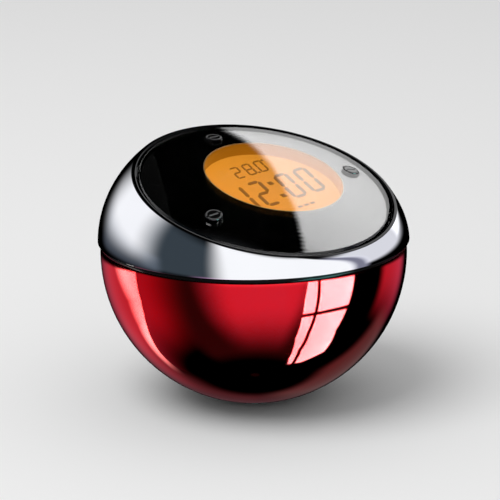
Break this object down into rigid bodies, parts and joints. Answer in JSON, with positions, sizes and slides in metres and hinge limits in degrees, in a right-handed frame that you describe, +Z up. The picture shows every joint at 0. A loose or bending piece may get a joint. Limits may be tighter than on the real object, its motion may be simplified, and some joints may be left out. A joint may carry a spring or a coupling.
{
  "type": "digital clock",
  "caption": "Ball-shaped digital table clock: red bowl, tilted chromed ring, domed black lens over a round amber number display, push keys in the lens, battery bay and loudspeaker behind.",
  "frame": {"origin": "middle of the foot's underside, which is the middle of the part's box at its lowest level", "axes": "+Z up; the reader is in front at -Y and the face is tilted towards them; +X to the reader's right"},
  "size_m": [0.0914, 0.0914, 0.0756],
  "materials": {
    "red_gloss": "candy red lacquer, high gloss",
    "chrome": "bright chrome plating",
    "trim": "dark polished plating",
    "lens_clear": "clear, high gloss",
    "mask_black": "black coat, high gloss",
    "tape": "matt foam tape",
    "key_black": "glossy black with a grey mark",
    "plunger_grey": "satin grey",
    "switch_black": "matt black",
    "well_gold": "dark gold, satin",
    "lcd_glass": "clear glass with an amber film",
    "lcd_amber": "amber film on glass",
    "lcd_ink": "dark amber figures",
    "guide_amber": "lit amber light guide",
    "led_yellow": "clear yellow",
    "frame_white": "matt white",
    "contact_grey": "striped grey rubber",
    "board_green": "green solder mask",
    "resin_black": "black resin",
    "can_silver": "satin can",
    "capacitor_blue": "blue sleeve",
    "screw_steel": "zinc plated",
    "chassis_black": "matt black",
    "basket_steel": "pressed steel",
    "cone_black": "black film",
    "magnet_grey": "bare magnet",
    "tray_red": "satin dark red",
    "cell_wrap": "plain printed wrap",
    "contact_nickel": "bright nickel",
    "pin_steel": "bright steel",
    "foot_rubber": "matt rubber",
    "ballast_steel": "blackened steel",
    "lead_red": "red insulation",
    "lead_black": "black insulation"
  },
  "bodies": {
    "housing": {"bowl_shell": "red_gloss", "trim_band": "trim", "chrome_ring": "chrome", "lens": "lens_clear", "face_mask": "mask_black", "lens_tape": "tape", "switch_bodies": "switch_black", "window_well": "well_gold", "lcd_front_glass": "lcd_glass", "lcd_rear_glass": "lcd_amber", "lcd_figures": "lcd_ink", "light_guide": "guide_amber", "backlight_leds": "led_yellow", "lcd_frame": "frame_white", "contact_rubber": "contact_grey", "main_board": "board_green", "sound_chip": "resin_black", "crystal": "can_silver", "capacitors": "capacitor_blue", "board_screws": "screw_steel", "chassis": "chassis_black", "chassis_screws": "screw_steel", "speaker_basket": "basket_steel", "speaker_cone": "cone_black", "speaker_magnet": "magnet_grey", "speaker_clamp": "chassis_black", "clamp_screws": "screw_steel", "battery_tray": "tray_red", "battery_cells": "cell_wrap", "contact_springs": "contact_nickel", "contact_plates": "contact_nickel", "door_pin": "pin_steel", "base_screws": "screw_steel", "foot_pad": "foot_rubber", "ballast_weight": "ballast_steel", "battery_leads": "lead_red", "speaker_leads": "lead_black"},
    "key_top_body": {"key_top": "key_black", "plunger_top": "plunger_grey"},
    "key_left_body": {"key_left": "key_black", "plunger_left": "plunger_grey"},
    "key_right_body": {"key_right": "key_black", "plunger_right": "plunger_grey"},
    "battery_door_body": {"battery_door": "red_gloss"}
  },
  "joints": [
    {"name": "key_top_press", "type": "slide", "parent": "housing", "child": "key_top_body", "axis": [0, 0.3007, -0.9537], "range_m": [0, 0.0005], "stiffness_N_per_m": 900},
    {"name": "key_left_press", "type": "slide", "parent": "housing", "child": "key_left_body", "axis": [0, 0.3007, -0.9537], "range_m": [0, 0.0005], "stiffness_N_per_m": 900},
    {"name": "key_right_press", "type": "slide", "parent": "housing", "child": "key_right_body", "axis": [0, 0.3007, -0.9537], "range_m": [0, 0.0005], "stiffness_N_per_m": 900},
    {"name": "battery_door_swing", "type": "hinge", "parent": "housing", "child": "battery_door_body", "pos_m": [-0.0246, 0.0224, 0.01512], "axis": [0, 0.788, 0.6157], "range_deg": [0, 90]}
  ]
}
